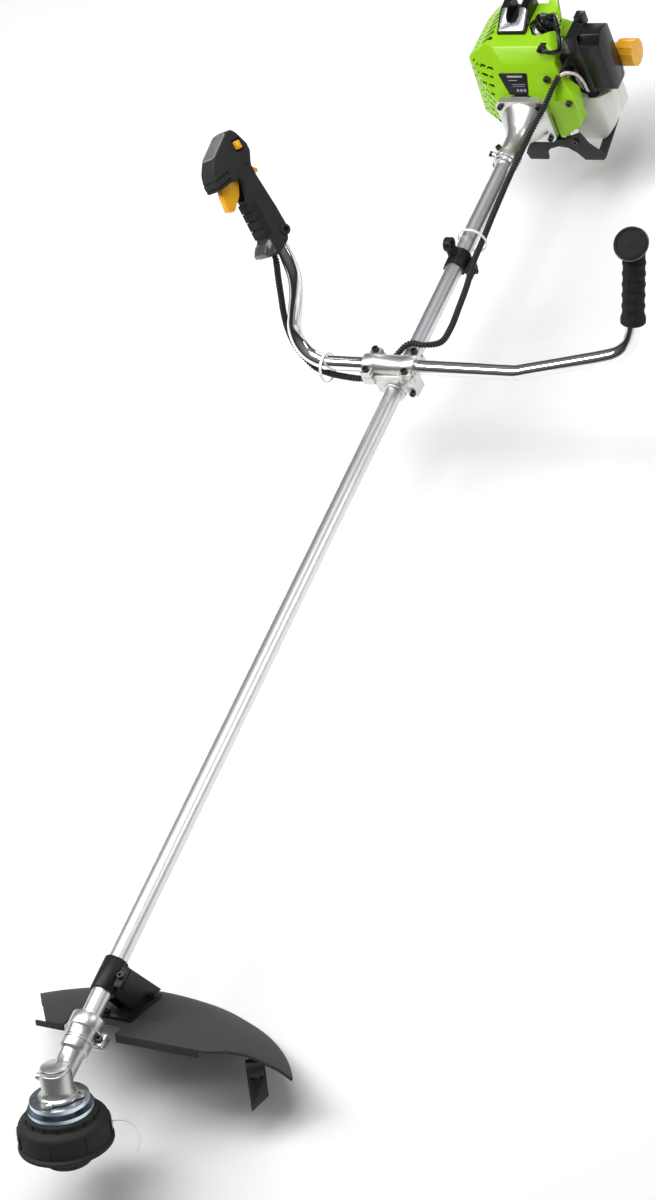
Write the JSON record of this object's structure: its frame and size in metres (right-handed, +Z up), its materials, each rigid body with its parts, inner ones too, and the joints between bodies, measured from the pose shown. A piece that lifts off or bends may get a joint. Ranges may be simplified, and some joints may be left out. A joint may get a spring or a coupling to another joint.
{
  "type": "string trimmer",
  "caption": "Petrol string trimmer with a straight shaft, a bicycle handlebar, a guard, a bump-feed line head and an engine on a stand.",
  "frame": {"origin": "underside of the engine stand's rear bar, straight below the shaft's axis", "axes": "+Y along the shaft from the cutting head to the engine, +X the user's left, +Z up when it lies on its stand"},
  "size_m": [0.6783, 2.0008, 0.5433],
  "materials": {
    "cast_aluminium": "bead blasted die casting",
    "shaft_aluminium": "satin anodised tube",
    "gear_steel": "ground steel",
    "bearing_steel": "polished steel",
    "zinc_steel": "blue zinc plated",
    "black_screws": "black oxide",
    "chrome_bar": "bright chrome plated",
    "black_nylon": "moulded nylon",
    "guard_plastic": "moulded, softly glossy",
    "black_paint": "gloss black paint",
    "stand_plastic": "fine texture",
    "grip_rubber": "soft touch rubber",
    "handle_plastic": "fine spark texture",
    "amber_plastic": "translucent amber",
    "green_plastic": "gloss lime green",
    "black_gloss": "gloss black",
    "tank_plastic": "milky translucent polyethylene",
    "white_nylon": "clear white nylon",
    "black_rubber": "moulded rubber",
    "ceramic": "glazed ceramic and steel",
    "engine_aluminium": "as cast",
    "muffler_steel": "heat-proof paint",
    "foam": "oiled foam"
  },
  "bodies": {
    "frame": {"gearbox_housing": "cast_aluminium", "gearbox_bearings": "bearing_steel", "guard": "guard_plastic", "guard_bracket": "black_paint", "line_cutter": "gear_steel", "shaft_tube": "shaft_aluminium", "drive_bushings": "black_rubber", "harness_clamp": "black_paint", "cable_ties": "white_nylon", "bar_clamp_base": "cast_aluminium", "bar_clamp_cap": "cast_aluminium", "clamp_screws": "black_screws", "handlebar": "chrome_bar", "left_grip": "grip_rubber", "throttle_shell_left": "handle_plastic", "throttle_shell_right": "handle_plastic", "lever_pins": "bearing_steel", "control_conduit": "black_rubber", "throttle_cable": "black_rubber", "clutch_housing": "cast_aluminium", "crankcase": "engine_aluminium", "cylinder_block": "engine_aluminium", "engine_shroud": "green_plastic", "top_cover": "black_gloss", "spark_plug": "ceramic", "plug_lead": "black_rubber", "starter_housing": "green_plastic", "muffler": "muffler_steel", "carburettor": "engine_aluminium", "filter_base": "black_gloss", "filter_cover": "black_gloss", "filter_element": "foam", "fuel_tank": "tank_plastic", "fuel_lines": "black_rubber", "engine_stand": "stand_plastic", "engine_screws": "black_screws"},
    "head": {"bevel_gear": "gear_steel", "output_shaft": "bearing_steel", "upper_flange": "zinc_steel", "lower_flange": "zinc_steel", "head_housing": "black_nylon", "head_cover": "black_nylon", "head_spring": "gear_steel", "line_eyelets": "bearing_steel", "trimmer_line": "white_nylon"},
    "spool": {"line_spool": "black_nylon"},
    "bump_knob": {"bump_knob": "black_nylon"},
    "drive_train": {"bevel_pinion": "gear_steel", "drive_shaft": "gear_steel", "clutch_drum": "gear_steel"},
    "crank": {"crankshaft": "gear_steel", "flywheel": "engine_aluminium", "clutch_shoes": "gear_steel"},
    "piston": {"piston": "engine_aluminium"},
    "trigger": {"throttle_trigger": "amber_plastic"},
    "lockout": {"lockout_lever": "amber_plastic"},
    "stop": {"stop_switch": "amber_plastic"},
    "choke": {"choke_lever": "black_gloss"},
    "fuel_cap": {"fuel_cap": "amber_plastic"},
    "starter_grip": {"starter_handle": "handle_plastic"}
  },
  "joints": [
    {"name": "head_spin", "type": "hinge", "parent": "frame", "child": "head", "pos_m": [0, -1.903, 0.06182], "axis": [0, 0.5, 0.866], "continuous": true},
    {"name": "drive_spin", "type": "hinge", "parent": "frame", "child": "drive_train", "pos_m": [0, -1.085, 0.093], "axis": [0, 1, 0], "continuous": true},
    {"name": "spool_turn", "type": "hinge", "parent": "head", "child": "spool", "pos_m": [0, -1.92, 0.03238], "axis": [0, 0.5, 0.866], "continuous": true},
    {"name": "bump_slide", "type": "slide", "parent": "spool", "child": "bump_knob", "axis": [0, 0.5, 0.866], "range_m": [0, 0.004], "stiffness_N_per_m": 900, "springref_m": -0.004},
    {"name": "crank_spin", "type": "hinge", "parent": "frame", "child": "crank", "pos_m": [0, -0.059, 0.093], "axis": [0, 1, 0], "continuous": true},
    {"name": "piston_slide", "type": "slide", "parent": "frame", "child": "piston", "axis": [0, 0, 1], "range_m": [-0.028, 0]},
    {"name": "trigger_pull", "type": "hinge", "parent": "frame", "child": "trigger", "pos_m": [-0.20912, -0.58003, 0.4063], "axis": [0.8773, -0.1677, 0.4497], "range_deg": [0, 15], "stiffness_Nm_per_rad": 0.5, "springref_deg": -11.46},
    {"name": "lockout_press", "type": "hinge", "parent": "frame", "child": "lockout", "pos_m": [-0.19812, -0.56579, 0.39014], "axis": [-0.8773, 0.1677, -0.4497], "range_deg": [0, 10], "stiffness_Nm_per_rad": 0.3, "springref_deg": -11.46},
    {"name": "stop_slide", "type": "slide", "parent": "frame", "child": "stop", "axis": [-0.3584, 0.3945, 0.8461], "range_m": [-0.003, 0]},
    {"name": "choke_turn", "type": "hinge", "parent": "frame", "child": "choke", "pos_m": [0.07, -0.059, 0.137], "axis": [0, 1, 0], "range_deg": [-60, 0]},
    {"name": "fuel_cap_turn", "type": "hinge", "parent": "frame", "child": "fuel_cap", "pos_m": [0.141, -0.023, 0.124], "axis": [1, 0, 0], "range_deg": [0, 180]},
    {"name": "starter_pull", "type": "slide", "parent": "frame", "child": "starter_grip", "axis": [0, 0, 1], "range_m": [0, 0.035], "stiffness_N_per_m": 60, "springref_m": -0.02}
  ],
  "couplings": [
    {"joint": "drive_spin", "follows": "head_spin", "ratio": -1.25}
  ]
}
